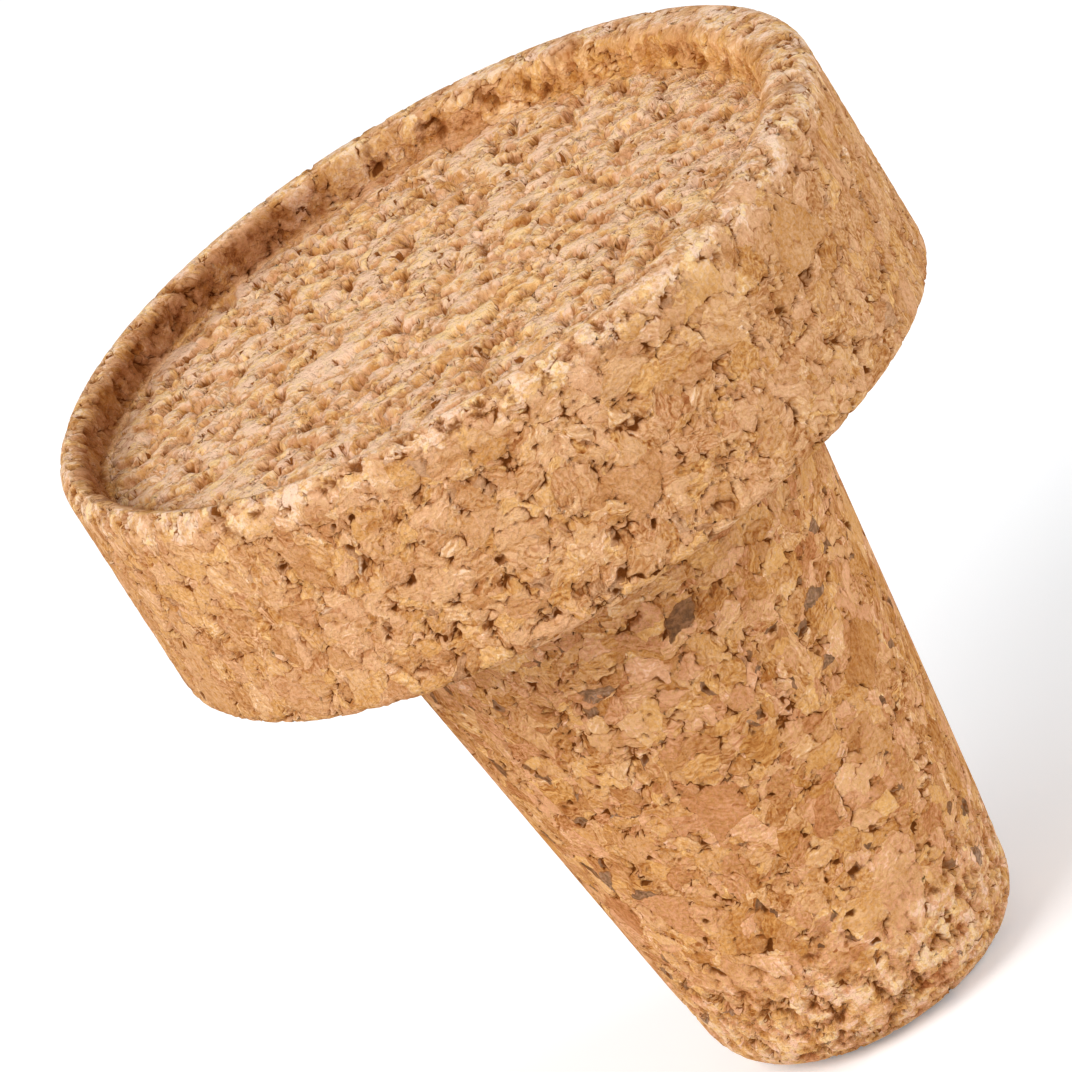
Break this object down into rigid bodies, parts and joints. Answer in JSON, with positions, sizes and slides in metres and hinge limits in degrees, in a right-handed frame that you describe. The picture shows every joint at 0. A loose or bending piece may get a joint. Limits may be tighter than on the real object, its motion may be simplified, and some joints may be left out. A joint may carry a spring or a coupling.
{
  "type": "cork stopper",
  "caption": "Tapered cork bottle stopper: a broad round head with a shallow recess in its top lifts out the plug that closes the neck.",
  "frame": {"origin": "centre of the plug's flat end, which the stopper stands on", "axes": "+Z along the stopper's axis, from the plug's end to the head; the part is round, so X and Y are alike"},
  "size_m": [0.038, 0.038, 0.041],
  "materials": {
    "cork": "bare agglomerated cork, matte and granular"
  },
  "bodies": {
    "root": {"stopper": "cork"}
  },
  "joints": []
}
